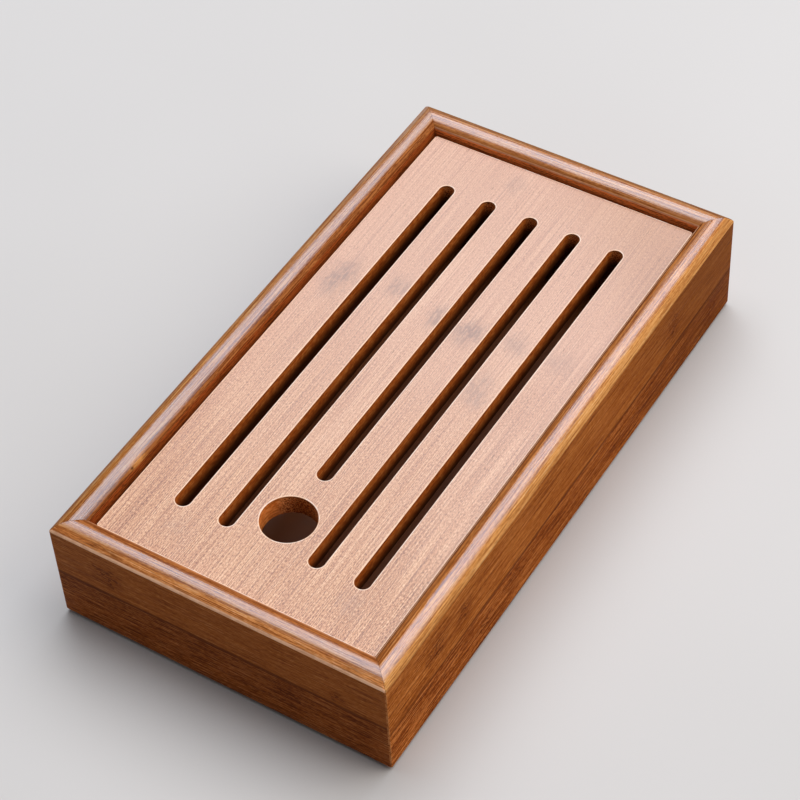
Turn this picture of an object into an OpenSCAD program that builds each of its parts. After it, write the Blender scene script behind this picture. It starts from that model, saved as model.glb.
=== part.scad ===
// Compact gongfu tea tray: mitred bamboo frame with a crowned bead, lift-out
// slotted panel with a finger hole, and a lift-out drip tray below it.
// Millimetres. X is the length, Y the width, Z up. The origin is the middle of
// the footprint on the table. The finger hole is at the -X end.

/* [Frame] */
// Outside length of the tray
tray_l = 270; // [268:1:290]
// Outside width of the tray
tray_w = 146.7; // [146:0.1:156]
// Height of the plain vertical face of a rail, bottom edge to outer arris
face_h = 46.5; // [45:0.5:52]
// Thickness of a rail
rail_t = 10.9; // [10.6:0.1:12]
// How far the inner arris of the bead stands above the outer arris
bead_tilt = 0.9; // [0.5:0.1:1.4]
// Rise of the crowned bead above the line between its two arrises
bead_rise = 2.9; // [2.4:0.1:3.4]

/* [Slotted panel] */
// Top of the panel above the bottom edge of the frame
panel_top = 44.5; // [43.5:0.5:45]
// Thickness of the panel
panel_t = 9.6; // [8.5:0.1:10.5]
// Gap between the panel edge and the rails
panel_gap = 1.4; // [1:0.1:2]
// Width of a drain slot
slot_w = 6.5; // [5:0.1:8]
// Distance between neighbouring slots
slot_pitch = 19.8; // [17:0.1:22]
// Front tip of the four long slots, measured from the middle
slot_front = 99.5; // [92:0.5:101]
// Rear tip of all slots, measured from the middle
slot_rear = 98.5; // [92:0.5:101]
// Front tip of the short middle slot, measured from the middle
slot_mid_front = 63; // [50:0.5:68]
// Distance of the finger hole from the middle
hole_x = 85; // [82:0.5:88]
// Radius of the finger hole
hole_r = 11.05; // [10:0.05:11.5]

/* [Inside] */
// Width of the ledge strips that carry the panel
ledge_w = 6; // [5:0.5:7]
// Height of the ledge strips
ledge_h = 9; // [7:0.5:11]
// Thickness of the base board
base_t = 4; // [3:0.5:4.5]
// Depth of the base groove in the rails
groove_d = 5; // [4:0.5:6]
// Height of the drip tray
drip_h = 21.5; // [18:0.5:22]
// Wall thickness of the drip tray
drip_wall = 1.8; // [1.4:0.1:2.2]
// Gap between the drip tray lip and the ledge strips
drip_gap = 1; // [0.8:0.1:1.5]
// Height the rubber feet lift the frame off the table
foot_lift = 1.5; // [1:0.1:2.5]
// Diameter of a rubber foot
foot_d = 12; // [10:0.5:14]

/* [Hidden] */
$fn = 96;
e = 2;                                   // overshoot of a cut
chord = sqrt(rail_t * rail_t + bead_tilt * bead_tilt);
bead_r = (chord * chord / 4 + bead_rise * bead_rise) / (2 * bead_rise);
bead_drop = bead_r - bead_rise;          // circle centre below the chord
bead_cx = rail_t / 2 + bead_tilt / chord * bead_drop;
bead_cz = face_h + bead_tilt / 2 - rail_t / chord * bead_drop;
in_l = tray_l - 2 * rail_t;              // clear inside of the frame
in_w = tray_w - 2 * rail_t;
base_z = foot_lift + 3;                  // underside of the base board
panel_z = foot_lift + panel_top - panel_t;
panel_l = in_l - 2 * panel_gap;
panel_w = in_w - 2 * panel_gap;
lip_l = in_l - 2 * ledge_w - 2 * drip_gap;
lip_w = in_w - 2 * ledge_w - 2 * drip_gap;
lip = 4;                                 // width of the drip tray lip
drip_z = base_z + base_t;
key_w = 8;                               // corner key across the mitre
key_t = 2.6;
key_h = 30;
key_in = 6.2;                            // key centre from both outer faces
key_z = foot_lift + 9.5;
batten_t = 5;
batten_b = 9;
batten_l = 96;
batten_x = 108;
foot_x = 112;
foot_y = 50;
bamboo = [0.76, 0.50, 0.27];
pale = [0.90, 0.74, 0.60];

// Cross section of a rail: x runs inward from the outer face, y is height.
module rail_section() {
    intersection() {
        square([rail_t, face_h + 20]);
        union() {
            square([rail_t, face_h - 2]);
            translate([bead_cx, bead_cz]) circle(r = bead_r);
        }
    }
}

// The groove for the base board, one block through all four rails.
module base_groove() {
    translate([0, 0, base_z + base_t / 2])
        cube([in_l + 2 * groove_d, in_w + 2 * groove_d, base_t], center = true);
}

// One corner key at the corner given by the signs sx and sy.
module key_block(sx, sy, grow = 0) {
    translate([sx * (tray_l / 2 - key_in), sy * (tray_w / 2 - key_in), key_z + key_h / 2])
        rotate([0, 0, 45 * sx * sy])
            cube([key_t, key_w + grow, key_h + grow], center = true);
}

// Plan of a rail along X at the -Y side, cut at 45 degrees at both ends.
module mitre_plan(l, t) {
    translate([0, 0, -1])
        linear_extrude(height = face_h + 30)
            polygon([[-l / 2 - e, -e], [l / 2 + e, -e],
                     [l / 2 - t - e, t + e], [-l / 2 + t + e, t + e]]);
}

module long_rail(s) {
    difference() {
        mirror([0, s > 0 ? 1 : 0, 0]) translate([0, -tray_w / 2, 0])
            intersection() {
                translate([-tray_l / 2, 0, foot_lift]) rotate([90, 0, 90])
                    linear_extrude(height = tray_l) rail_section();
                mitre_plan(tray_l, rail_t);
            }
        base_groove();
        key_block(-1, s, 0.4);
        key_block(1, s, 0.4);
    }
}

module end_rail(s) {
    difference() {
        mirror([s > 0 ? 1 : 0, 0, 0]) translate([-tray_l / 2, 0, 0])
            rotate([0, 0, -90]) intersection() {
                translate([-tray_w / 2, 0, foot_lift]) rotate([90, 0, 90])
                    linear_extrude(height = tray_w) rail_section();
                mitre_plan(tray_w, rail_t);
            }
        base_groove();
        key_block(s, -1, 0.4);
        key_block(s, 1, 0.4);
    }
}

module long_rail_left() color(bamboo) long_rail(1);
module long_rail_right() color(bamboo) long_rail(-1);
module end_rail_front() color(bamboo) end_rail(-1);
module end_rail_rear() color(bamboo) end_rail(1);

module corner_key_fl() color(pale) key_block(-1, 1);
module corner_key_fr() color(pale) key_block(-1, -1);
module corner_key_rl() color(pale) key_block(1, 1);
module corner_key_rr() color(pale) key_block(1, -1);

module base_board() color([0.80, 0.62, 0.42])
    translate([0, 0, base_z + base_t / 2])
        cube([in_l + 2 * groove_d - 1, in_w + 2 * groove_d - 1, base_t], center = true);

// Ledge strips: the long ones run the full inside length, the short ones
// fit between them.
module ledge_long(s) color(bamboo)
    translate([-in_l / 2, s > 0 ? in_w / 2 - ledge_w : -in_w / 2, panel_z - ledge_h])
        cube([in_l, ledge_w, ledge_h]);
module ledge_short(s) color(bamboo)
    translate([s > 0 ? in_l / 2 - ledge_w : -in_l / 2, -in_w / 2 + ledge_w, panel_z - ledge_h])
        cube([ledge_w, in_w - 2 * ledge_w, ledge_h]);
module ledge_left() ledge_long(1);
module ledge_right() ledge_long(-1);
module ledge_front() ledge_short(-1);
module ledge_rear() ledge_short(1);

module round_rect(l, w, r) {
    square([l - 2 * r, w], center = true);
    square([l, w - 2 * r], center = true);
    for (x = [-1, 1], y = [-1, 1])
        translate([x * (l / 2 - r), y * (w / 2 - r)]) circle(r = r);
}

module drip_tray() color([0.12, 0.11, 0.12])
    translate([0, 0, drip_z]) difference() {
        union() {
            linear_extrude(height = drip_h) round_rect(lip_l - 2 * lip, lip_w - 2 * lip, 8);
            translate([0, 0, drip_h - drip_wall])
                linear_extrude(height = drip_wall) round_rect(lip_l, lip_w, 10);
        }
        translate([0, 0, drip_wall])
            linear_extrude(height = drip_h + e)
                round_rect(lip_l - 2 * lip - 2 * drip_wall, lip_w - 2 * lip - 2 * drip_wall, 6.2);
    }

// One drain slot from x0 to x1, round at both ends.
module slot_cut(x0, x1, y) {
    translate([0, y, panel_z - e]) linear_extrude(height = panel_t + 2 * e) {
        translate([x0 + slot_w / 2, -slot_w / 2]) square([x1 - x0 - slot_w, slot_w]);
        translate([x0 + slot_w / 2, 0]) circle(d = slot_w);
        translate([x1 - slot_w / 2, 0]) circle(d = slot_w);
    }
}

module slotted_panel() color(pale)
    difference() {
        translate([0, 0, panel_z + panel_t / 2]) cube([panel_l, panel_w, panel_t], center = true);
        for (i = [-2, -1, 1, 2]) slot_cut(-slot_front, slot_rear, i * slot_pitch);
        slot_cut(-slot_mid_front, slot_rear, 0);
        translate([-hole_x, 0, panel_z - e]) cylinder(r = hole_r, h = panel_t + 2 * e);
    }

module batten(s) color(bamboo)
    translate([s * batten_x, 0, panel_z - batten_t / 2])
        cube([batten_b, batten_l, batten_t], center = true);
module panel_batten_front() batten(-1);
module panel_batten_rear() batten(1);

// Domed rubber foot, flat where it meets the table and the base board.
module foot(sx, sy) color([0.08, 0.08, 0.08])
    translate([sx * foot_x, sy * foot_y, 0])
        union() {
            cylinder(d1 = foot_d - 2, d2 = foot_d, h = 1);
            translate([0, 0, 1]) cylinder(d = foot_d, h = base_z - 1);
        }
module foot_fl() foot(-1, 1);
module foot_fr() foot(-1, -1);
module foot_rl() foot(1, 1);
module foot_rr() foot(1, -1);

long_rail_left();
long_rail_right();
end_rail_front();
end_rail_rear();
corner_key_fl();
corner_key_fr();
corner_key_rl();
corner_key_rr();
base_board();
ledge_left();
ledge_right();
ledge_front();
ledge_rear();
drip_tray();
slotted_panel();
panel_batten_front();
panel_batten_rear();
foot_fl();
foot_fr();
foot_rl();
foot_rr();
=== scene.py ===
import math
import random

import bmesh
import bpy
from mathutils import Matrix, Vector


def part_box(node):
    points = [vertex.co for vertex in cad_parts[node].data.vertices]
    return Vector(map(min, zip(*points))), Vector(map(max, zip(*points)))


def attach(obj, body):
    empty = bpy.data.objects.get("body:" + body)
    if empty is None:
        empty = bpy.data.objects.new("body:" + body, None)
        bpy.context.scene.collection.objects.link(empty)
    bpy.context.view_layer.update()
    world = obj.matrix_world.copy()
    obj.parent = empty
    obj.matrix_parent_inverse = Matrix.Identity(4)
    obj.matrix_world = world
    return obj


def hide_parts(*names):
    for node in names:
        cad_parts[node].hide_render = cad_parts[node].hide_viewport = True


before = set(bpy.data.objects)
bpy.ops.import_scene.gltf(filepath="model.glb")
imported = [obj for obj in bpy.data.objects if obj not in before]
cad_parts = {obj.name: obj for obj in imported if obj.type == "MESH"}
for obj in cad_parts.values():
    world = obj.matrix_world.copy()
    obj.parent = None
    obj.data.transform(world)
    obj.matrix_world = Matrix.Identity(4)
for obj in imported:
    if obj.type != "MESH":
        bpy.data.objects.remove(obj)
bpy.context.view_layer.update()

random.seed(11)
mm = 0.001
scene = bpy.context.scene

# ------------------------------------------------------------------ sizes
LR_LO, LR_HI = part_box("long_rail_right")
ER_LO, ER_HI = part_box("end_rail_front")
PN_LO, PN_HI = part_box("slotted_panel")
DT_LO, DT_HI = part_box("drip_tray")
L = LR_HI.x - LR_LO.x
W = ER_HI.y - ER_LO.y
T = ER_HI.x - ER_LO.x                 # rail thickness
Z0 = LR_LO.z                          # bottom edge of the frame
CREST = LR_HI.z
FACE_H, TILT, RISE = 46.5 * mm, 0.9 * mm, 2.9 * mm
CH = math.hypot(T, TILT)
BR = (CH * CH / 4 + RISE * RISE) / (2 * RISE)
BD = T / 2 + TILT / CH * (BR - RISE)
BZ = Z0 + FACE_H + TILT / 2 - T / CH * (BR - RISE)
assert abs(BZ + BR - CREST) < 0.05 * mm


# ------------------------------------------------------------------ mesh help
def finish_mesh(name, bm, mat, sharp=32, weighted=True):
    bmesh.ops.recalc_face_normals(bm, faces=bm.faces[:])
    lim = math.radians(sharp)
    for f in bm.faces:
        f.smooth = True
    for e in bm.edges:
        e.smooth = len(e.link_faces) == 2 and e.calc_face_angle(0) < lim
    me = bpy.data.meshes.new(name)
    bm.to_mesh(me)
    bm.free()
    ob = bpy.data.objects.new(name, me)
    scene.collection.objects.link(ob)
    me.materials.append(mat)
    if weighted:
        m = ob.modifiers.new("weighted", "WEIGHTED_NORMAL")
        m.keep_sharp = True
        m.weight = 100
    return ob


def bezier(a, b, c, n):
    """Inner points of a quadratic curve from a to c with control b."""
    out = []
    for i in range(1, n):
        t = i / n
        out.append(tuple((1 - t) ** 2 * p + 2 * t * (1 - t) * q + t * t * r for p, q, r in zip(a, b, c)))
    return out


def loft(bm, loops, close_first=False, close_last=False):
    """Quads between consecutive closed loops of vertices of one length."""
    for a, b in zip(loops, loops[1:]):
        n = len(a)
        for i in range(n):
            j = (i + 1) % n
            bm.faces.new((a[i], a[j], b[j], b[i]))
    if close_first:
        bm.faces.new(list(reversed(loops[0])))
    if close_last:
        bm.faces.new(loops[-1])


def rr_loop(l, w, r, n=8):
    """Rounded rectangle, counter-clockwise, as (x, y)."""
    r = max(min(r, l / 2 - 1e-5, w / 2 - 1e-5), 1e-5)
    pts = []
    for k, (sx, sy) in enumerate(((1, 1), (-1, 1), (-1, -1), (1, -1))):
        cx, cy = sx * (l / 2 - r), sy * (w / 2 - r)
        for i in range(n + 1):
            a = math.radians(90 * k + 90 * i / n)
            pts.append((cx + r * math.cos(a), cy + r * math.sin(a)))
    return pts


def eased_box(name, lo, hi, r, mat, seg=3):
    """A board with eased edges: a box with all its edges bevelled."""
    c = [(a + b) / 2 for a, b in zip(lo, hi)]
    s = [b - a for a, b in zip(lo, hi)]
    bm = bmesh.new()
    bmesh.ops.create_cube(bm, size=1)
    bmesh.ops.scale(bm, vec=s, verts=bm.verts[:])
    bmesh.ops.translate(bm, vec=c, verts=bm.verts[:])
    bmesh.ops.bevel(bm, geom=bm.edges[:], offset=r, segments=seg, profile=0.5, affect="EDGES")
    return finish_mesh(name, bm, mat, sharp=40)


# ------------------------------------------------------------------ materials
class Nodes:
    """Short helpers that add shader nodes."""

    def __init__(self, name):
        self.mat = bpy.data.materials.new(name)
        self.mat.use_nodes = True
        self.nt = self.mat.node_tree
        self.nt.nodes.clear()
        self.out = self.nt.nodes.new("ShaderNodeOutputMaterial")
        self.bsdf = self.nt.nodes.new("ShaderNodeBsdfPrincipled")
        self.nt.links.new(self.bsdf.outputs[0], self.out.inputs["Surface"])

    def put(self, sock, v):
        if isinstance(v, bpy.types.NodeSocket):
            self.nt.links.new(v, sock)
        elif isinstance(v, (tuple, list)) and len(v) == 3 and sock.type == "RGBA":
            sock.default_value = (*v, 1)
        else:
            sock.default_value = v

    def set(self, name, v):
        self.put(self.bsdf.inputs[name], v)

    def math(self, op, *a, clamp=False):
        n = self.nt.nodes.new("ShaderNodeMath")
        n.operation = op
        n.use_clamp = clamp
        for s, v in zip(n.inputs, a):
            self.put(s, v)
        return n.outputs[0]

    def vmath(self, op, *a):
        n = self.nt.nodes.new("ShaderNodeVectorMath")
        n.operation = op
        for s, v in zip(n.inputs, a):
            self.put(s, v)
        return n.outputs[0]

    def xyz(self, x, y, z):
        n = self.nt.nodes.new("ShaderNodeCombineXYZ")
        for s, v in zip(n.inputs, (x, y, z)):
            self.put(s, v)
        return n.outputs[0]

    def split(self, v):
        n = self.nt.nodes.new("ShaderNodeSeparateXYZ")
        self.put(n.inputs[0], v)
        return n.outputs[0], n.outputs[1], n.outputs[2]

    def pos(self):
        return self.nt.nodes.new("ShaderNodeTexCoord").outputs["Object"]

    def normal(self):
        return self.nt.nodes.new("ShaderNodeTexCoord").outputs["Normal"]

    def noise(self, vec, detail=3.0, rough=0.55, distort=0.0):
        n = self.nt.nodes.new("ShaderNodeTexNoise")
        self.put(n.inputs["Vector"], vec)
        n.inputs["Scale"].default_value = 1
        n.inputs["Detail"].default_value = detail
        n.inputs["Roughness"].default_value = rough
        n.inputs["Distortion"].default_value = distort
        return n.outputs[0]

    def white(self, v):
        n = self.nt.nodes.new("ShaderNodeTexWhiteNoise")
        n.noise_dimensions = "1D"
        self.put(n.inputs["W"], v)
        return n.outputs[0]

    def ramp(self, fac, lo, hi, a=0.0, b=1.0, smooth=True):
        n = self.nt.nodes.new("ShaderNodeMapRange")
        n.interpolation_type = "SMOOTHSTEP" if smooth else "LINEAR"
        n.clamp = True
        for s, v in zip(n.inputs, (fac, lo, hi, a, b)):
            self.put(s, v)
        return n.outputs[0]

    def mix(self, fac, a, b, mode="MIX"):
        n = self.nt.nodes.new("ShaderNodeMix")
        n.data_type = "RGBA"
        n.blend_type = mode
        n.clamp_factor = True
        self.put(n.inputs[0], fac)
        self.put(n.inputs[6], a)
        self.put(n.inputs[7], b)
        return n.outputs[2]

    def curve(self, fac, stops):
        """A colour ramp through (place, colour) stops."""
        n = self.nt.nodes.new("ShaderNodeValToRGB")
        self.put(n.inputs[0], fac)
        els = n.color_ramp.elements
        while len(els) < len(stops):
            els.new(0.5)
        for e, (p, c) in zip(els, stops):
            e.position = p
            e.color = (*c, 1)
        return n.outputs[0]

    def tone(self, *layers):
        """0.5 plus each layer's swing about its middle, as (socket, gain)."""
        t = 0.5
        for sock, gain in layers:
            t = self.math("ADD", self.math("MULTIPLY", self.math("SUBTRACT", sock, 0.5), gain), t)
        return t

    def bump(self, height, dist, strength=1.0, normal=None):
        n = self.nt.nodes.new("ShaderNodeBump")
        n.inputs["Strength"].default_value = strength
        n.inputs["Distance"].default_value = dist
        self.put(n.inputs["Height"], height)
        if normal is not None:
            self.put(n.inputs["Normal"], normal)
        return n.outputs[0]

    def scaled(self, g, a, b, sg, sa, sb, off=(0, 0, 0)):
        return self.xyz(self.math("MULTIPLY_ADD", g, sg, off[0]),
                        self.math("MULTIPLY_ADD", a, sa, off[1]),
                        self.math("MULTIPLY_ADD", b, sb, off[2]))

    def blob(self, g, a, g0, a0, rg, ra):
        """1 at (g0, a0), falling to 0 at an ellipse of radii rg and ra."""
        dg = self.math("DIVIDE", self.math("SUBTRACT", g, g0), rg)
        da = self.math("DIVIDE", self.math("SUBTRACT", a, a0), ra)
        d = self.math("SQRT", self.math("ADD", self.math("MULTIPLY", dg, dg), self.math("MULTIPLY", da, da)))
        return self.ramp(d, 1.0, 0.15, 0.0, 1.0)


def shade(c, k):
    return tuple(min(1.0, v * k) for v in c)


def bamboo_rail(name, along, half, length, seed, scars, part, k, wall, bead, blue, coat=0.0):
    """Steamed brown bamboo under lacquer. along is 'x' or 'y', half the distance
    of the outer face from the middle. scars are joint scars as (place along the
    rail, height, half length, half height). part is 'face' for the flat faces,
    'slope' for the duller slopes of the bead, 'crest' for its polished top and
    'fade' for the narrow band between them.
    k is the tone of this strip, wall the colour of the face that looks inwards, lightened as painted light
    where that face gets little lamp light, bead the tones across the bead: outer slope and inner slope,
    both partly painted light and shade, worn arrises that are partly a painted highlight, dark lines of
    painted shade, blue a small shift of hue and coat the strength of the lacquer."""
    m = Nodes(name)
    slope, s0, s1, inner_shade, low0, low1, edge, rim, shade_lines = bead
    crown = part != "face"
    x, y, z = m.split(m.pos())
    nx, ny, nz = m.split(m.normal())
    g, c = (x, y) if along == "x" else (y, x)
    off = (seed * 3.7, seed * 1.9, seed * 5.3)
    depth = m.math("SUBTRACT", half, m.math("ABSOLUTE", c))
    end = m.math("SUBTRACT", length / 2, m.math("ABSOLUTE", g))
    # two glued strips, one above the other, with a slightly wandering glue line
    joint = 21.5 * mm if along == "x" else 25.5 * mm
    wander = m.math("MULTIPLY", m.math("SUBTRACT", m.noise(m.scaled(g, z, c, 9, 3, 3, off), 1.0), 0.5), 0.0016)
    zz = m.math("ADD", z, wander)
    upper = m.math("GREATER_THAN", zz, joint)
    glue = m.ramp(m.math("ABSOLUTE", m.math("SUBTRACT", zz, joint)), 1.2 * mm, 0.25 * mm)
    gs = m.math("ADD", g, m.math("MULTIPLY", upper, 0.37))
    # fibres at several scales, all drawn out along the rail
    fh, ff = (1700, 1000) if along == "x" else (2500, 1500)
    hair = m.noise(m.scaled(gs, z, c, 60, fh, 2600, off), 1.0, 0.5)
    fine = m.noise(m.scaled(gs, z, c, 22, ff, 1700, off), 1.0, 0.5)
    band = m.noise(m.scaled(gs, z, c, 6, 420, 420, off), 2.0, 0.5)
    broad = m.noise(m.scaled(gs, z, c, 6, 70, 70, off), 2.0, 0.5)
    salt = m.noise(m.scaled(gs, z, c, 600, 2700, 2700, off), 0.0, 0.5)
    dash = m.noise(m.scaled(gs, z, c, 170, 1900, 1900, off), 1.0, 0.5)
    line = m.ramp(m.noise(m.scaled(gs, z, c, 9, 1900, 1900, (off[2], off[1], off[0])), 1.0, 0.5), 0.56, 0.64)
    flame = m.math("MULTIPLY", m.ramp(m.noise(m.scaled(gs, z, c, 30, 1300, 1300, (off[1], off[2], off[0])), 2.0, 0.6), 0.50, 0.62),
                   m.ramp(m.noise(m.scaled(g, z, c, 22, 40, 40, (off[2], off[0], off[1])), 1.0), 0.48, 0.66))
    if crown:
        t = m.tone((salt, 0.50), (hair, 1.35), (fine, 0.85), (band, 0.26), (broad, 0.26))
        if seed == 1.5:
            t = m.math("ADD", m.math("MULTIPLY", m.math("SUBTRACT", t, 0.5), m.ramp(depth, s0 * mm, s1 * mm, 0.62, 1.0)), 0.5)
        col = m.curve(t, ((0.10, shade((0.250, 0.062, 0.010), k)), (0.34, shade((0.450, 0.140, 0.028), k)), (0.52, shade((0.600, 0.215, 0.048), k)),
                          (0.70, shade((0.690, 0.280, 0.076), k)), (0.92, shade((0.780, 0.400, 0.160), k))))
        dark = (0.20, 0.050, 0.010)
        col = m.mix(m.math("MULTIPLY", line, 0.30), col, dark)
        # the outer slope's tone is set per rail as painted light and shade: lighter on the front rail, darker on the
        # rear rail
        col = m.mix(m.ramp(depth, s0 * mm, s1 * mm), m.vmath("MULTIPLY", col, slope), m.vmath("MULTIPLY", col, (0.95, 0.96, 0.98)))
        # painted shade: the bead's inner slope is darkened towards the panel, with a strength set per rail
        low = m.ramp(depth, low0 * mm, low1 * mm)
        inner_shade_colour = m.mix(m.ramp(t, 0.34, 0.66), (0.190, 0.046, 0.009), (0.450, 0.145, 0.036))
        col = m.mix(m.math("MULTIPLY", low, inner_shade), col, inner_shade_colour)
        # painted shade: thin dark lines along the bead's inner side, the strongest being the shadowed gap next to the
        # panel on the right rail
        for d0, dw, k0 in shade_lines:
            shade_line = m.ramp(m.math("ABSOLUTE", m.math("SUBTRACT", depth, d0 * mm)), dw * mm, dw * 0.25 * mm)
            col = m.mix(m.math("MULTIPLY", shade_line, k0), col, (0.080, 0.018, 0.004))
        if seed == 2.5:
            n = m.vmath("SCALE", col, (0, 0, 0))
            m.put(n.node.inputs["Scale"], m.ramp(g, -0.12, -0.03, 0.84, 1.0))
            col = n
            swirl = m.ramp(m.noise(m.scaled(g, depth, c, 240, 1500, 900, off), 2.0, 0.6), 0.40, 0.62)
            knot = m.math("MULTIPLY", m.blob(g, depth, -0.0912, 9.9 * mm, 0.0080, 1.9 * mm), m.math("MULTIPLY_ADD", swirl, 0.60, 0.25))
            col = m.mix(knot, col, (0.700, 0.300, 0.080))
            col = m.mix(m.math("MULTIPLY", m.blob(g, depth, -0.0957, 10.2 * mm, 0.0011, 0.6 * mm), 0.85), col, (0.050, 0.012, 0.003))
        if seed == 3.5:
            torn = m.math("MAXIMUM", m.blob(g, depth, 0.0515, 1.6 * mm, 0.0125, 2.4 * mm), m.math("MULTIPLY", m.blob(g, depth, -0.058, 1.4 * mm, 0.008, 2.0 * mm), 0.6))
            torn = m.math("MULTIPLY", torn, m.ramp(m.noise(m.scaled(g, depth, c, 150, 1500, 900, off), 2.0, 0.6), 0.46, 0.56))
            col = m.mix(m.math("MULTIPLY", torn, 0.75), col, (0.150, 0.036, 0.008))
    else:
        more = m.ramp(g, -0.11, 0.12, 1.75, 0.80, False) if along == "x" else 1.30
        more = m.math("MULTIPLY", more, m.math("MULTIPLY_ADD", upper, -0.50, 1.15))
        t = m.math("ADD", m.math("MULTIPLY", m.math("SUBTRACT", m.tone((salt, 0.65), (hair, 1.45), (fine, 0.25)), 0.5), more), m.tone((band, 0.08), (broad, 0.10)))
        t = m.math("ADD", t, m.math("MULTIPLY", upper, 0.05))
        col = m.curve(t, ((0.10, shade((0.120, 0.024, 0.0025), k)), (0.34, shade((0.220, 0.050, 0.0055), k)), (0.52, shade((0.300, 0.076, 0.0095), k)),
                          (0.70, shade((0.370, 0.106, 0.0160), k)), (0.92, shade((0.480, 0.165, 0.0360), k))))
        dark = shade((0.105, 0.022, 0.003), k)
        col = m.mix(m.math("MULTIPLY", line, m.math("MULTIPLY_ADD", upper, -0.20, 0.34)), col, dark)
        col = m.mix(m.math("MULTIPLY", glue, 0.75), col, dark)
        col = m.mix(upper, m.vmath("MULTIPLY", col, (0.96, 0.95, 1.00)), m.vmath("MULTIPLY", col, (1.06, 1.15, 1.25)))
        col = m.vmath("MULTIPLY", col, (1.0, 1.0, blue))
        # painted light: the faces are lighter near the bottom, against the shadow on the floor; the front rail's face
        # is lighter low down and again in its upper strip, and the right rail's face fades along its length towards +x
        painted_light_gain = m.ramp(z, 4 * mm, 44 * mm, 1.06, 0.99, False)
        if seed == 3:
            painted_light_gain = m.math("MULTIPLY", m.ramp(z, 8 * mm, 22 * mm, 1.12, 0.93), m.ramp(z, 24 * mm, 27 * mm, 1.0, 1.12))
        if seed == 1:
            painted_light_gain = m.math("MULTIPLY", m.ramp(z, 4 * mm, 44 * mm, 1.12, 0.97, False), m.math("MULTIPLY", m.ramp(g, -0.12, 0.02, 1.26, 1.15), m.ramp(g, 0.02, 0.12, 1.0, 0.66)))
        n = m.vmath("SCALE", col, (0, 0, 0))
        n.node.inputs["Scale"].default_value = 1.0
        m.put(n.node.inputs["Scale"], painted_light_gain)
        col = n
        # the face that looks inwards takes the wall colour, which is set per rail as painted light: lightest on the
        # rear rail, whose inner face gets little lamp light
        inner = m.ramp(depth, 7.5 * mm, 9.5 * mm)
        streak = m.mix(m.ramp(t, 0.35, 0.65), shade(wall, 0.50), shade(wall, 1.42))
        col = m.mix(inner, col, streak)
    col = m.mix(m.math("MULTIPLY", m.ramp(dash, 0.58, 0.70), 0.45 if crown else m.math("MULTIPLY_ADD", upper, -0.16, 0.36)), col, dark)
    col = m.mix(m.math("MULTIPLY", flame, 0.15), col, dark)
    height = m.math("ADD", m.math("MULTIPLY", hair, 0.35), m.math("MULTIPLY", fine, 0.65))
    total = None
    for g0, z0, rg, rz in scars:
        wob = m.math("MULTIPLY", m.math("SUBTRACT", m.noise(m.scaled(g, z, c, 260, 260, 260, off), 2.0), 0.5), 0.008)
        b = m.blob(m.math("ADD", g, wob), m.math("ADD", z, wob), g0, z0, rg, rz)
        total = b if total is None else m.math("MAXIMUM", total, b)
    if total is not None:
        fleck = m.noise(m.scaled(m.math("ADD", g, wob), m.math("ADD", z, m.math("MULTIPLY", wob, 0.5)), c, 420, 1500, 1500, off), 1.0, 0.5)
        dots = m.ramp(fleck, 0.50, 0.59)
        col = m.mix(m.math("MULTIPLY", total, 0.24), col, shade((0.230, 0.044, 0.007), k))
        col = m.mix(m.math("MULTIPLY", m.math("MULTIPLY", total, dots), 0.82), col, shade((0.090, 0.017, 0.0030), k))
        height = m.math("SUBTRACT", height, m.math("MULTIPLY", m.math("MULTIPLY", total, dots), 0.7))
    # the arrises are paler: worn wood, and along the outer and inner arris lines also a painted highlight; the vertical
    # corners are paler too, and the mitre shows a thin dark glue line
    rub = m.ramp(m.noise(m.scaled(g, z, c, 230, 600, 600, off), 3.0, 0.6), 0.36, 0.60)
    if crown:
        arris = m.math("MULTIPLY", m.math("MULTIPLY", m.ramp(nz, 0.06, 0.22), m.ramp(depth, (0.50 + 0.34 * edge) * mm, (0.29 + 0.23 * edge) * mm)), edge)
        arris = m.math("MAXIMUM", arris, m.math("MULTIPLY", m.ramp(depth, rim[0] * mm, rim[1] * mm), rim[2]))
    else:
        arris = m.math("MULTIPLY", m.ramp(z, 48.1 * mm, 48.5 * mm), rim[2])
    corner = m.math("MULTIPLY", m.ramp(end, 0.95 * mm, 0.35 * mm), m.ramp(depth, 0.95 * mm, 0.35 * mm))
    col = m.mix(m.math("MULTIPLY", arris, m.math("MULTIPLY_ADD", rub, 0.35, 0.65)), col, (1.0, 0.58, 0.35))
    col = m.mix(m.math("MULTIPLY", m.math("MULTIPLY", corner, rub), 0.70), col, (0.66, 0.27, 0.095))
    seam = m.ramp(m.math("ABSOLUTE", m.math("SUBTRACT", end, depth)), 0.20 * mm, 0.04 * mm)
    col = m.mix(m.math("MULTIPLY", seam, 0.50), col, (0.12, 0.036, 0.010))
    m.set("Base Color", col)
    height = m.math("SUBTRACT", height, m.math("MULTIPLY", line, 0.35))
    m.set("Normal", m.bump(height, 0.00010 if crown else 0.00008, 0.9))
    if part == "slope":
        m.set("Roughness", m.ramp(fine, 0.3, 0.7, 0.34, 0.48, False))
        m.set("Specular IOR Level", 0.03)
    elif crown:
        m.set("Roughness", m.ramp(fine, 0.3, 0.7, 0.24, 0.34, False))
        m.set("Specular IOR Level", 0.66 if part == "crest" else 0.34)
        m.set("Specular Tint", (0.45, 0.76, 1.0, 1))
        m.set("Coat Weight", coat if part == "crest" else coat * 0.5)
        m.set("Coat Roughness", 0.17)
        m.set("Coat IOR", 1.62)
    else:
        m.set("Roughness", m.ramp(fine, 0.3, 0.7, 0.42, 0.56, False))
        m.set("Specular IOR Level", 0.008 if seed == 1 else 0.025)
    return m.mat


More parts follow.
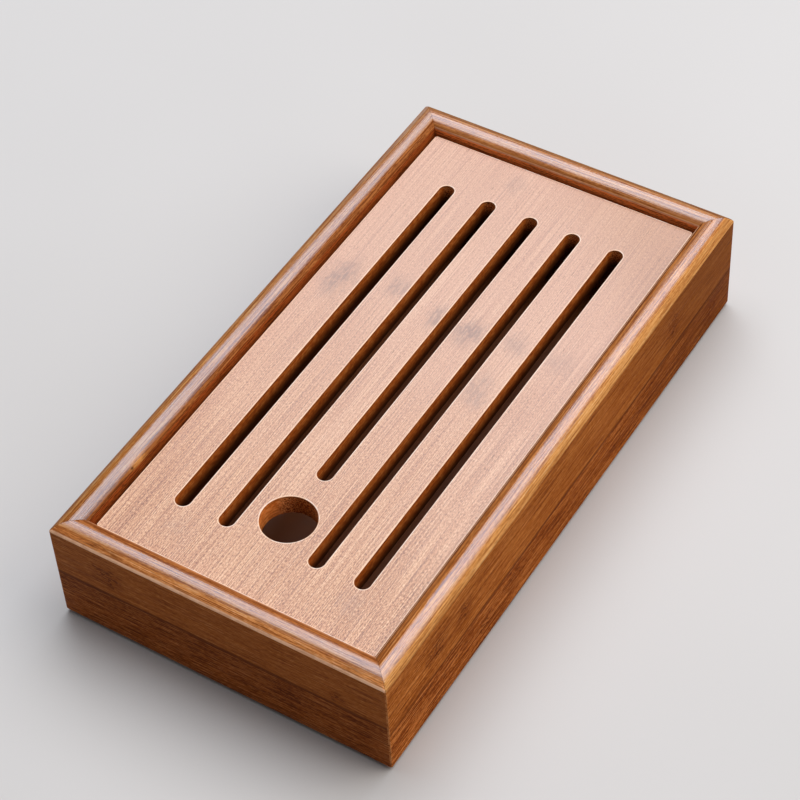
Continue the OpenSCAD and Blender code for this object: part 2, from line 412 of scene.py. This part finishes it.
def bamboo_panel(sawn=False):
    """Pale sanded bamboo with fine fibres along X; the cut walls are browner and darker towards the bottom as painted
    shade, the hole wall has painted light and shade by side, and sawn gives them a duller finish than the top and
    painted shade just below the top edge."""
    m = Nodes("bamboo_panel_cut" if sawn else "bamboo_panel")
    x, y, z = m.split(m.pos())
    nx, ny, nz = m.split(m.normal())
    off = (2.1, 7.7, 3.3)
    # strips about 20 mm wide
    wander = m.math("MULTIPLY", m.math("SUBTRACT", m.noise(m.scaled(x, y, z, 6, 2, 2, off), 1.0), 0.5), 0.003)
    yy = m.math("DIVIDE", m.math("ADD", m.math("ADD", y, wander), 0.2045), 0.0205)
    strip = m.white(m.math("ADD", m.math("FLOOR", yy), 5.0))
    seam = m.ramp(m.math("ABSOLUTE", m.math("SUBTRACT", m.math("FRACT", yy), 0.5)), 0.482, 0.498)
    xs = m.math("ADD", x, m.math("MULTIPLY", strip, 0.9))
    salt = m.noise(m.scaled(xs, y, z, 950, 3400, 600, off), 0.0, 0.5)
    hair = m.noise(m.scaled(xs, y, z, 18, 2500, 600, off), 1.0, 0.5)
    fine = m.noise(m.scaled(xs, y, z, 20, 1400, 300, off), 1.0, 0.5)
    broad = m.noise(m.scaled(xs, y, z, 9, 170, 90, off), 2.0, 0.5)
    cloud = m.noise(m.scaled(x, y, z, 15, 22, 22, (9.2, 1.4, 4.0)), 3.0, 0.55)
    t = m.tone((salt, 1.35), (hair, 1.45), (fine, 0.14))
    t = m.math("ADD", m.math("MULTIPLY", m.math("SUBTRACT", t, 0.5), m.ramp(x, -0.10, 0.10, 1.12, 0.92, False)), 0.5)
    t = m.math("ADD", m.math("SUBTRACT", t, 0.5), m.tone((broad, 0.16), (cloud, 0.14), (strip, 0.10)))
    col = m.curve(t, ((0.04, (0.240, 0.072, 0.022)), (0.28, (0.420, 0.160, 0.062)), (0.50, (0.555, 0.248, 0.117)),
                      (0.70, (0.650, 0.325, 0.162)), (0.96, (0.800, 0.480, 0.270))))
    # paler and pinker towards +x: partly the wood's own colour, partly a painted sheen
    col = m.mix(m.ramp(m.math("ADD", x, m.math("MULTIPLY", cloud, 0.04)), -0.085, 0.06, 0.0, 0.50, False), col, (0.670, 0.412, 0.318))
    # painted shade in the corner between the right and rear rails and along the left edge at the front, and painted
    # light along the right edge in the front half
    col = m.mix(m.ramp(m.math("SUBTRACT", x, y), 0.100, 0.165), col, m.vmath("MULTIPLY", col, (0.86, 0.82, 0.75)))
    col = m.mix(m.math("MULTIPLY", m.ramp(y, -0.038, -0.050), m.ramp(x, 0.015, -0.025)), col, m.vmath("MULTIPLY", col, (1.06, 1.11, 1.16)))
    col = m.mix(m.math("MULTIPLY", m.ramp(y, 0.042, 0.054), m.ramp(x, -0.030, -0.085)), col, m.vmath("MULTIPLY", col, (0.94, 0.90, 0.85)))
    # short dark pores
    pore = m.noise(m.scaled(x, y, z, 260, 1500, 1500, (1.0, 2.0, 3.0)), 1.0, 0.5)
    pores = m.ramp(pore, 0.70, 0.76)
    col = m.mix(m.math("MULTIPLY", pores, 0.48), col, (0.16, 0.065, 0.030))
    col = m.mix(m.math("MULTIPLY", seam, 0.22), col, (0.36, 0.16, 0.10))
    # grey violet stains where the joints of the culm were
    stain = None
    wob = m.math("MULTIPLY", m.math("SUBTRACT", m.noise(m.scaled(x, y, z, 110, 160, 1, off), 3.0), 0.5), 0.012)
    for g0, a0, rg, ra, k in ((31, 51, 18, 9, 1.0), (37, 27, 10, 8, 0.75), (31, 6.0, 11, 6, 0.9), (29.5, -10.6, 12, 9, 1.0),
                              (5.0, -28, 13, 8, 0.65), (33, -29, 10, 7, 0.5), (33, -49, 10, 9, 0.4), (-106, -40, 9, 9, 0.3),
                              (-109, 34, 10, 9, 0.25), (112, 16, 8, 8, 0.35)):
        b = m.math("MULTIPLY", m.blob(m.math("ADD", x, wob), m.math("ADD", y, wob), g0 * mm, a0 * mm, rg * mm, ra * mm), k)
        stain = b if stain is None else m.math("MAXIMUM", stain, b)
    grain = m.noise(m.scaled(x, y, z, 200, 700, 1, (4, 4, 4)), 2.0, 0.6)
    fleck = m.math("MULTIPLY", stain, m.ramp(grain, 0.38, 0.58, 0.40, 1.0))
    col = m.mix(m.math("MULTIPLY", fleck, 0.76), col, (0.285, 0.165, 0.130))
    # cut edges, slot walls and hole: browner, darker end grain
    wall = m.ramp(m.math("ABSOLUTE", nz), 0.90, 0.55)
    endg = m.math("ABSOLUTE", nx)
    ply = m.noise(m.scaled(x, y, z, 60, 60, 1500, off), 3.0, 0.6)
    speck = m.noise(m.scaled(x, y, z, 1900, 1900, 1900, off), 2.0, 0.6)
    patch = m.noise(m.scaled(x, y, z, 420, 420, 700, off), 2.0, 0.6)
    side = m.curve(m.tone((ply, 0.75), (patch, 0.95)), ((0.25, (0.360, 0.074, 0.009)), (0.50, (0.600, 0.152, 0.023)), (0.75, (0.800, 0.280, 0.062))))
    endc = m.curve(speck, ((0.34, (0.120, 0.022, 0.004)), (0.50, (0.560, 0.165, 0.034)), (0.64, (0.950, 0.460, 0.150))))
    cut = m.mix(m.ramp(endg, 0.45, 0.80), side, endc)
    hx = m.math("ADD", x, 85 * mm)
    ring = m.math("SUBTRACT", m.math("SQRT", m.math("ADD", m.math("MULTIPLY", hx, hx), m.math("MULTIPLY", y, y))), 11.05 * mm)
    bore = m.ramp(ring, 2.0 * mm, 1.0 * mm)
    # painted shade: the cut walls darken towards the bottom of the panel, as shade falls inside the slots and hole;
    # less in the hole and on the outer edges
    wall_shade = m.ramp(z, PN_LO.z + 0.8 * mm, PN_HI.z - 1.2 * mm, 0.92, 0.0)
    wall_shade = m.math("MULTIPLY", wall_shade, m.math("MULTIPLY_ADD", bore, -0.65, 1.0))
    rim = m.math("MAXIMUM", m.math("GREATER_THAN", m.math("ABSOLUTE", y), PN_HI.y - 3 * mm), m.math("GREATER_THAN", m.math("ABSOLUTE", x), PN_HI.x - 3 * mm))
    wall_shade = m.math("MULTIPLY", wall_shade, m.math("MULTIPLY_ADD", rim, -0.70, 1.0))
    cut = m.mix(wall_shade, cut, (0.030, 0.009, 0.003))
    # painted light and shade: the hole wall is made lighter all round except where it faces -x, which is made darker
    cut = m.mix(bore, cut, m.vmath("MULTIPLY", cut, m.mix(m.ramp(nx, -1.03, -0.62), (0.78, 0.74, 0.70), (1.60, 1.86, 2.40))))
    if sawn:
        # painted shade: the sawn walls darken from just below the top edge
        below_top_shade = m.ramp(z, PN_HI.z - 0.95 * mm, PN_HI.z - 0.50 * mm)
        cut = m.mix(m.math("MULTIPLY", below_top_shade, 0.42), cut, (0.100, 0.020, 0.003))
    col = m.mix(wall, col, cut)
    pitch, slot_r = 19.8 * mm, 3.25 * mm
    ay = m.math("ABSOLUTE", y)
    line = m.math("MULTIPLY", m.math("SUBTRACT", m.math("FRACT", m.math("ADD", m.math("DIVIDE", ay, pitch), 0.5)), 0.5), pitch)
    tail = m.math("MULTIPLY_ADD", m.math("LESS_THAN", ay, pitch / 2), -36.5 * mm, 96.25 * mm)
    over = m.math("MAXIMUM", m.math("MAXIMUM", m.math("SUBTRACT", x, 95.25 * mm), m.math("SUBTRACT", m.math("MULTIPLY", x, -1.0), tail)), 0.0)
    gap = m.math("SUBTRACT", m.math("SQRT", m.math("ADD", m.math("MULTIPLY", over, over), m.math("MULTIPLY", line, line))), slot_r)
    gap = m.math("MAXIMUM", gap, m.math("MULTIPLY", m.math("GREATER_THAN", ay, 2.5 * pitch), 1.0))
    gap = m.math("MINIMUM", gap, ring)
    gap = m.math("MINIMUM", gap, m.math("MINIMUM", m.math("SUBTRACT", PN_HI.x, m.math("ABSOLUTE", x)), m.math("SUBTRACT", PN_HI.y, ay)))
    # painted highlight: the eased top edges of the panel, slots and hole are paler, whitest along the -y edge of each
    # slot
    eased = m.math("MULTIPLY", m.ramp(nz, 0.40, 0.66), m.ramp(gap, 0.64 * mm, 0.32 * mm))
    col = m.mix(m.math("MULTIPLY", eased, m.ramp(grain, 0.30, 0.60, 0.45, 0.85)), col,
                m.mix(m.math("MULTIPLY", m.math("LESS_THAN", m.math("MULTIPLY", line, m.math("SIGN", y)), 0.0), m.math("LESS_THAN", ay, 2.5 * pitch)),
                      (0.950, 0.640, 0.420), (1.0, 0.770, 0.600)))
    m.set("Base Color", col)
    m.set("Roughness", m.ramp(fine, 0.3, 0.7, 0.36, 0.48, False))
    h = m.math("ADD", m.math("MULTIPLY", hair, 0.50), m.math("MULTIPLY", fine, 0.50))
    h = m.math("SUBTRACT", h, m.math("MULTIPLY", pores, 0.4))
    m.set("Normal", m.bump(h, 0.00006, 0.8))
    if sawn:
        m.set("Specular IOR Level", 0.10)
    else:
        m.set("Specular IOR Level", 0.55)
        m.set("Coat Weight", 0.35)
        m.set("Coat Roughness", 0.30)
    return m.mat


def bamboo_raw(name, along, tint, seed):
    """Plain sawn bamboo for the hidden strips and boards."""
    m = Nodes(name)
    x, y, z = m.split(m.pos())
    g, c = (x, y) if along == "x" else (y, x)
    off = (seed, seed * 2.3, seed * 0.7)
    fine = m.noise(m.scaled(g, z, c, 30, 1100, 1100, off), 3.0, 0.65)
    mid = m.noise(m.scaled(g, z, c, 10, 360, 360, off), 3.0, 0.6)
    broad = m.noise(m.scaled(g, z, c, 5, 60, 60, off), 2.0, 0.5)
    a = tuple(v * 0.86 for v in tint)
    b = tuple(min(1.0, v * 1.14) for v in tint)
    col = m.mix(m.ramp(broad, 0.3, 0.7), a, b)
    col = m.mix(m.math("MULTIPLY", m.ramp(mid, 0.5, 0.8), 0.5), col, tuple(v * 0.5 for v in tint))
    col = m.mix(m.math("MULTIPLY", m.ramp(fine, 0.47, 0.66), 0.62), col, tuple(v * 0.40 for v in tint))
    m.set("Base Color", col)
    m.set("Roughness", m.ramp(mid, 0.25, 0.8, 0.60, 0.75, False))
    m.set("Normal", m.bump(m.math("ADD", fine, mid), 0.00008, 0.6))
    m.set("Specular IOR Level", 0.35)
    return m.mat


def plastic_dark():
    """Dark brown moulded plastic with a soft sheen and a faint moulded texture."""
    m = Nodes("drip_plastic")
    p = m.pos()
    x, y, z = m.split(p)
    tex = m.noise(m.scaled(x, y, z, 2400, 2400, 2400), 2.0, 0.5)
    cloud = m.noise(m.scaled(x, y, z, 18, 24, 24, (3, 1, 2)), 3.0, 0.55)
    film = m.noise(m.scaled(x, y, z, 60, 70, 70, (8, 5, 1)), 4.0, 0.6)
    col = m.mix(m.ramp(cloud, 0.3, 0.75), (0.172, 0.0500, 0.0145), (0.270, 0.0860, 0.0260))
    col = m.mix(m.math("MULTIPLY", m.ramp(film, 0.55, 0.8), 0.35), col, (0.150, 0.076, 0.048))
    m.set("Base Color", col)
    m.set("Roughness", m.ramp(film, 0.3, 0.8, 0.30, 0.42, False))
    m.set("Normal", m.bump(tex, 0.00002, 0.5))
    m.set("Specular IOR Level", 0.17)
    return m.mat


def rubber_dark():
    m = Nodes("rubber_foot")
    x, y, z = m.split(m.pos())
    tex = m.noise(m.scaled(x, y, z, 1800, 1800, 1800), 3.0, 0.6)
    dust = m.noise(m.scaled(x, y, z, 260, 260, 260), 3.0, 0.6)
    col = m.mix(m.math("MULTIPLY", m.ramp(dust, 0.5, 0.8), 0.5), (0.020, 0.020, 0.021), (0.055, 0.052, 0.049))
    m.set("Base Color", col)
    m.set("Roughness", m.ramp(dust, 0.3, 0.8, 0.70, 0.85, False))
    m.set("Normal", m.bump(tex, 0.00006, 0.6))
    m.set("Specular IOR Level", 0.35)
    return m.mat


def floor_material():
    m = Nodes("studio_floor")
    x, y, z = m.split(m.pos())
    cloud = m.noise(m.scaled(x, y, z, 3, 3, 3), 2.0, 0.5)
    m.set("Base Color", m.mix(m.ramp(cloud, 0.3, 0.7), (0.612, 0.572, 0.538), (0.642, 0.602, 0.568)))
    m.set("Roughness", 0.75)
    m.set("Specular IOR Level", 0.2)
    return m.mat


# ------------------------------------------------------------------ the rails
def rail_profile():
    """Closed section of a rail as (depth from the outer face, height)."""
    za, zi = Z0 + FACE_H, Z0 + FACE_H + TILT
    f, s = 0.5 * mm, 0.40 * mm
    pts = [(f, Z0)]
    pts += bezier((f, Z0), (0, Z0), (0, Z0 + f), 4)
    pts.append((0, Z0 + f))
    pts.append((0, Z0 + 12 * mm))
    pts.append((0, Z0 + 30 * mm))
    pts.append((0, za - s))
    a0 = math.atan2(za - BZ, 0 - BD)               # angle of the outer arris
    a1 = math.atan2(zi - BZ, T - BD)               # angle of the inner arris
    da = s / BR
    p0 = (BD + BR * math.cos(a0 - da), BZ + BR * math.sin(a0 - da))
    pts += bezier((0, za - s), (0, za), p0, 5)
    n = 44
    for i in range(n + 1):
        a = (a0 - da) + (a1 + da - a0 + da) * i / n
        pts.append((BD + BR * math.cos(a), BZ + BR * math.sin(a)))
    pts += bezier(pts[-1], (T, zi), (T, zi - s), 5)
    pts.append((T, zi - s))
    pts.append((T, Z0 + 40 * mm))
    gz0, gz1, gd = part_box("base_board")[0].z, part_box("base_board")[1].z, 5.0 * mm
    pts += [(T, gz1), (T - gd, gz1), (T - gd, gz0), (T, gz0)]
    pts.append((T, Z0 + f))
    pts += bezier((T, Z0 + f), (T, Z0), (T - f, Z0), 4)
    pts.append((T - f, Z0))
    return pts


def inward(pts, k):
    """The section shrunk by k, for the eased lip of the mitre."""
    out = []
    n = len(pts)
    for i in range(n):
        (ax, ay), (bx, by), (cx, cy) = pts[i - 1], pts[i], pts[(i + 1) % n]
        tx, ty = (cx - ax), (cy - ay)
        l = math.hypot(tx, ty) or 1
        out.append((bx + ty / l * k, by - tx / l * k))
    return out


def rail(name, length, half, turn, mat, slope_mat, crest_mat, fade_mat, polish):
    """One mitred rail. half is the distance of its outer face from the middle."""
    prof = rail_profile()
    area = sum(a[0] * b[1] - b[0] * a[1] for a, b in zip(prof, prof[1:] + prof[:1]))
    shrunk = inward(prof, 0.05 * mm if area < 0 else -0.05 * mm)
    K, dl = 6, 0.05 * mm
    bm = bmesh.new()
    rot = Matrix.Rotation(math.radians(turn), 4, "Z")
    rings = []

    def round_at(z):
        """Radius of the corner in plan: crisp on the face, softer on the bead."""
        t = min(max((z - (Z0 + FACE_H - 0.3 * mm)) / (2.2 * mm), 0.0), 1.0)
        return (0.7 + 1.9 * t * t * (3 - 2 * t)) * mm

    def place(d, z, k, side):
        rc = round_at(z)
        r = max(rc - d, 0)
        c = max(rc, d)
        a = math.radians(225 + 45 * k / K)
        x = -length / 2 + c + r * math.cos(a) + k * dl
        y = -half + c + r * math.sin(a)
        return rot @ Vector((x if side < 0 else -x, y, z))

    for k in range(K + 1):
        src = shrunk if k == 0 else prof
        rings.append([bm.verts.new(place(d, z, k, -1)) for d, z in src])
    for t in [i / 12 for i in range(-11, 12)]:
        ring = []
        for d, z in prof:
            ring.append(bm.verts.new(rot @ Vector((t * (length / 2 - max(d, round_at(z))), -half + d, z))))
        rings.append(ring)
    for k in range(K, -1, -1):
        src = shrunk if k == 0 else prof
        rings.append([bm.verts.new(place(d, z, k, 1)) for d, z in src])
    loft(bm, rings, True, True)
    bmesh.ops.recalc_face_normals(bm, faces=bm.faces[:])
    for f in bm.faces:
        if f.normal.z > 0.15 and f.calc_center_median().z > Z0 + FACE_H - 1.0 * mm:
            w = f.calc_center_median()
            d = (rot.inverted() @ w).y + half
            g = (w.x if turn in (0, 180) else w.y) / length + 0.5
            lo = polish[0] + (polish[1] - polish[0]) * g
            hi = polish[2] + (polish[3] - polish[2]) * g
            inside = min(d / mm - lo, hi - d / mm)
            f.material_index = 2 if inside > 0.3 else 3 if inside > -0.3 else 1
    ob = finish_mesh(name, bm, mat, sharp=24)
    ob.data.materials.append(slope_mat)
    ob.data.materials.append(crest_mat)
    ob.data.materials.append(fade_mat)
    return ob


# tones: outer slope, set rail by rail as painted light and shade (lighter on the front
# rail, darker on the rear), inner slope, a painted shade, with the depths where it starts
# and is full, worn outer arris, worn inner arris as start, full and strength (both arrises
# partly a painted highlight), and dark lines of painted shade as depth, half width and
# strength; then the depths between which the bead is polished, each at both ends of the
# rail, and the strength of the lacquer. The wall colours are painted light as well,
# lightest on the rear rail, whose inner face looks away from the key light
RAILS = {
    "long_rail_right": ("x", L, W / 2, 0, 1.06, 1.06, 1.08, (0.42, 0.10, 0.022),
                        ((1.02, 1.22, 1.50), 1.4, 4.2, 0.62, 5.8, 8.2, 0.0, (10.30, 10.65, 1.0), ((8.15, 0.40, 0.35), (10.0, 0.55, 0.80))), (2.3, 3.2, 6.1, 8.5), 0.72, (
        (-0.045, 0.0165, 0.013, 0.009), (-0.101, 0.0335, 0.011, 0.009), (-0.0815, 0.0345, 0.008, 0.007),
        (-0.068, 0.0102, 0.009, 0.007), (0.082, 0.033, 0.012, 0.010), (0.117, 0.012, 0.010, 0.009))),
    "long_rail_left": ("x", L, W / 2, 180, 1.00, 0.78, 1.0, (0.34, 0.080, 0.016),
                       ((0.82, 0.86, 1.00), 1.4, 4.2, 0.95, 8.0, 9.4, 0.35, (10.30, 10.65, 0.0), ((9.85, 0.70, 0.20),)), (6.0, 1.7, 9.8, 8.2), 0.68, (
        (0.030, 0.0340, 0.013, 0.010), (-0.075, 0.0120, 0.011, 0.009))),
    "end_rail_front": ("y", W, L / 2, -90, 0.96, 0.87, 1.30, (0.42, 0.12, 0.030),
                       ((1.40, 1.42, 1.75), 1.2, 3.6, 0.92, 5.2, 8.2, 1.0, (9.50, 10.30, 0.22), ((8.95, 0.50, 0.30),)), (2.7, 2.9, 7.5, 7.3), 0.68, (
        (0.0483, 0.0365, 0.0105, 0.0085), (-0.030, 0.0165, 0.0105, 0.010), (-0.052, 0.030, 0.006, 0.005))),
    "end_rail_rear": ("y", W, L / 2, 90, 0.98, 0.96, 1.0, (0.66, 0.195, 0.046),
                      ((0.46, 0.48, 0.52), 3.2, 4.7, 0.66, 9.2, 10.1, 0.35, (10.50, 10.75, 0.50), ((10.25, 0.35, 0.30),)), (3.8, 3.8, 9.7, 9.5), 1.0, (
        (-0.022, 0.0350, 0.011, 0.010), (0.044, 0.0120, 0.010, 0.009))),
}
for i, (node, (along, length, half, turn, k_face, k_bead, blue, wall, bead, polish, coat, scars)) in enumerate(RAILS.items()):
    ob = rail(node + "_wood", length, half, turn,
              bamboo_rail("bamboo_" + node, along, half, length, i + 1, scars, "face", k_face, wall, bead, blue),
              bamboo_rail("bamboo_slope_" + node, along, half, length, i + 1.5, (), "slope", k_bead, wall, bead, 1.0),
              bamboo_rail("bamboo_crest_" + node, along, half, length, i + 1.5, (), "crest", k_bead, wall, bead, 1.0, coat),
              bamboo_rail("bamboo_fade_" + node, along, half, length, i + 1.5, (), "fade", k_bead, wall, bead, 1.0, coat), polish)
    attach(ob, "frame")
    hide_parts(node)


# ------------------------------------------------------------------ the panel
def stadium(x0, x1, y, w, n=18):
    """A slot outline, clockwise, with the normals that point into the wood."""
    r = w / 2
    pts = []
    for cx, a0 in ((x1 - r, 90), (x0 + r, 270)):
        for i in range(n + 1):
            a = math.radians(a0 - 180 * i / n)
            pts.append(((cx + r * math.cos(a), y + r * math.sin(a)), (math.cos(a), math.sin(a))))
    return pts


def ring_hole(cx, cy, r, n=96):
    return [((cx + r * math.cos(-2 * math.pi * i / n), cy + r * math.sin(-2 * math.pi * i / n)),
             (math.cos(-2 * math.pi * i / n), math.sin(-2 * math.pi * i / n))) for i in range(n)]


def panel_mesh(mat, cut_mat):
    zt, zb = PN_HI.z, PN_LO.z
    l, w = PN_HI.x - PN_LO.x, PN_HI.y - PN_LO.y
    pitch, sw = 19.8 * mm, 6.5 * mm
    cuts = [stadium(-99.5 * mm, 98.5 * mm, i * pitch, sw) for i in (-2, -1, 1, 2)]
    cuts.append(stadium(-63 * mm, 98.5 * mm, 0, sw))
    cuts.append(ring_hole(-85 * mm, 0, 11.05 * mm))
    rim = []
    rr = rr_loop(l, w, 1.0 * mm, 6)
    for i, p in enumerate(rr):
        k, j = divmod(i, 7)
        a = math.radians(90 * k + 90 * j / 6)
        rim.append((p, (-math.cos(a), -math.sin(a))))
    bm = bmesh.new()
    b, n = 0.32 * mm, 4
    tops, bottoms = [], []
    for loop in [rim] + cuts:
        rings = []
        for j in range(n + 1):
            t = math.pi / 2 * j / n
            o, dz = b * (1 - math.sin(t)), b * (1 - math.cos(t))
            rings.append([bm.verts.new((p[0] + q[0] * o, p[1] + q[1] * o, zt - dz)) for p, q in loop])
        for z in (zt - 3.2 * mm, zb + 3.2 * mm):
            rings.append([bm.verts.new((p[0], p[1], z)) for p, q in loop])
        for j in range(n, -1, -1):
            t = math.pi / 2 * j / n
            o, dz = b * (1 - math.sin(t)), b * (1 - math.cos(t))
            rings.append([bm.verts.new((p[0] + q[0] * o, p[1] + q[1] * o, zb + dz)) for p, q in loop])
        loft(bm, rings)
        for ring, store in ((rings[0], tops), (rings[-1], bottoms)):
            for i in range(len(ring)):
                store.append(bm.edges.get((ring[i], ring[(i + 1) % len(ring)])))
    for store in (tops, bottoms):
        bmesh.ops.triangle_fill(bm, use_beauty=True, use_dissolve=False, edges=store)
    bm.normal_update()
    for f in bm.faces:
        f.material_index = 1 if abs(f.normal.z) < 0.30 else 0
    ob = finish_mesh("slotted_panel_wood", bm, mat, sharp=35)
    ob.data.materials.append(cut_mat)
    return ob


panel = panel_mesh(bamboo_panel(), bamboo_panel(True))
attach(panel, "panel")
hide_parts("slotted_panel")


# ------------------------------------------------------------------ drip tray
def drip_mesh(mat):
    zb, zt = DT_LO.z, DT_HI.z
    ll, lw = DT_HI.x - DT_LO.x, DT_HI.y - DT_LO.y
    lip, wall = 4 * mm, 1.8 * mm
    ol, ow = ll - 2 * lip, lw - 2 * lip
    draft = 0.9 * mm
    rings = []

    def ring(inset, z, r):
        rings.append((ol - 2 * inset, ow - 2 * inset, r, z))

    # outside, from the middle of the underside up to the lip
    for k in (14, 13.2):
        ring(k * mm, zb + 0.5 * mm, 2 * mm)
    ring(12.6 * mm, zb, 3 * mm)
    r = 2.4 * mm
    for j in range(7):
        t = math.pi / 2 * j / 6
        ring(draft + r * (1 - math.sin(t)), zb + r * (1 - math.cos(t)), 7 * mm)
    ring(draft * 0.5, (zb + zt) / 2, 7.6 * mm)
    zu = zt - wall
    r = 0.8 * mm
    for j in range(5):
        t = math.pi / 2 * j / 4
        ring(-r * (1 - math.cos(t)), zu - r * (1 - math.sin(t)), 8 * mm)
    e = wall / 2
    for j in range(9):
        t = math.pi * j / 8
        ring(-(lip - e) - e * math.sin(t), zu + e - e * math.cos(t), 10 * mm)
    r = 1.1 * mm
    for j in range(6):
        t = math.pi / 2 * j / 5
        ring(wall - r * (1 - math.sin(t)), zt - r * (1 - math.cos(t)), 6.4 * mm)
    ring(wall + 0.3 * mm, (zb + zt) / 2, 6.2 * mm)
    r = 3.2 * mm
    for j in range(9):
        t = math.pi / 2 * j / 8
        ring(wall + 0.55 * mm + r * (1 - math.cos(t)), zb + wall + r * (1 - math.sin(t)), 6.0 * mm)
    bm = bmesh.new()
    loops = [[bm.verts.new((x, y, z)) for x, y in rr_loop(l, w, r, 10)] for l, w, r, z in rings]
    loft(bm, loops, True, True)
    return finish_mesh("drip_tray_shell", bm, mat, sharp=50)


drip = drip_mesh(plastic_dark())
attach(drip, "drip_tray")
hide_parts("drip_tray")

# ------------------------------------------------------------------ hidden boards
raw_x = bamboo_raw("bamboo_inner_x", "x", (0.42, 0.215, 0.095), 3.1)
raw_y = bamboo_raw("bamboo_inner_y", "y", (0.42, 0.215, 0.095), 6.4)
base_mat = bamboo_raw("base_board", "x", (0.36, 0.175, 0.070), 9.9)
for node, mat, body, slot, ease in (
        ("ledge_left", raw_x, "frame", "bamboo_inner", 0.4), ("ledge_right", raw_x, "frame", "bamboo_inner", 0.4),
        ("ledge_front", raw_y, "frame", "bamboo_inner", 0.4), ("ledge_rear", raw_y, "frame", "bamboo_inner", 0.4),
        ("panel_batten_front", raw_y, "panel", "bamboo_inner", 0.7), ("panel_batten_rear", raw_y, "panel", "bamboo_inner", 0.7),
        ("base_board", base_mat, "frame", "base_board", 0.3)):
    lo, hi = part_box(node)
    ob = eased_box(node + "_strip", lo, hi, ease * mm, mat)
    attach(ob, body)
    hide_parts(node)


# ------------------------------------------------------------------ feet
def foot(node, mat):
    lo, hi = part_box(node)
    cx, cy, R = (lo.x + hi.x) / 2, (lo.y + hi.y) / 2, (hi.x - lo.x) / 2
    prof = [(0.0, 0.35), (1.2, 0.30), (1.6, 0.05), (3.2, 0.0), (4.4, 0.0), (4.95, 0.12), (5.45, 0.50), (5.85, 1.15), (5.97, 1.9), (6.0, 2.6), (6.0, 4.2), (5.8, 4.5), (0.0, 4.5)]
    s = R / (6 * mm)
    bm = bmesh.new()
    n = 48
    loops = []
    for r, z in prof[1:-1]:
        loops.append([bm.verts.new((cx + r * mm * s * math.cos(2 * math.pi * i / n), cy + r * mm * s * math.sin(2 * math.pi * i / n), lo.z + z * mm)) for i in range(n)])
    loft(bm, loops, True, True)
    return finish_mesh(node + "_rubber", bm, mat, sharp=45)


rub = rubber_dark()
for node in ("foot_fl", "foot_fr", "foot_rl", "foot_rr"):
    ob = foot(node, rub)
    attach(ob, "frame")
    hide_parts(node)
key_mat = bamboo_raw("corner_key_wood", "y", (0.50, 0.30, 0.15), 1.7)
for node in ("corner_key_fl", "corner_key_fr", "corner_key_rl", "corner_key_rr"):
    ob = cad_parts[node]
    ob.data.materials.clear()
    ob.data.materials.append(key_mat)

# ------------------------------------------------------------------ stage
bm = bmesh.new()
bmesh.ops.create_grid(bm, x_segments=8, y_segments=8, size=3.0)
floor = finish_mesh("studio_floor", bm, floor_material(), weighted=False)


def area(name, direction, dist, size, power, color=(1, 1, 1), target=(0, 0, 0.04), size_y=None):
    li = bpy.data.lights.new(name, "AREA")
    li.shape = "RECTANGLE"
    li.size = size
    li.size_y = size_y or size
    li.energy = power
    li.color = color
    ob = bpy.data.objects.new(name, li)
    scene.collection.objects.link(ob)
    d = Vector(direction).normalized()
    ob.location = Vector(target) + d * dist
    ob.rotation_mode = "QUATERNION"
    ob.rotation_quaternion = d.to_track_quat("Z", "Y")
    return ob


area("key_softbox", (0.365, 0.127, 0.922), 2.0, 2.10, 50, (0.885, 0.955, 1.05))
area("side_fill", (0.30, -0.65, 0.70), 2.2, 1.6, 20, (1.0, 0.95, 0.89))
world = bpy.data.worlds.new("studio_world")
scene.world = world
world.use_nodes = True
bg = world.node_tree.nodes["Background"]
bg.inputs["Color"].default_value = (0.90, 0.93, 1.0, 1)
bg.inputs["Strength"].default_value = 0.17

# ------------------------------------------------------------------ camera
cam_data = bpy.data.cameras.new("photo_camera")
cam = bpy.data.objects.new("photo_camera", cam_data)
scene.collection.objects.link(cam)
scene.camera = cam
cam_data.sensor_width = 36
cam_data.lens = 111.86
cam_data.clip_start, cam_data.clip_end = 0.05, 20
right = Vector((0.52257867, -0.85150694, -0.04298206))
down = Vector((-0.64715093, -0.3633325, -0.67021278))
ahead = Vector((0.55507406, 0.37805479, -0.74092332))
rotm = Matrix((right, -down, -ahead)).transposed()
cam.rotation_mode = "QUATERNION"
cam.rotation_quaternion = rotm.to_quaternion()
cam.location = (-0.54512665, -0.36652106, 0.75330745 + 0.0015)

scene.view_settings.view_transform = "Standard"
scene.view_settings.look = "None"
scene.view_settings.exposure = 0.0
scene.view_settings.gamma = 1.0
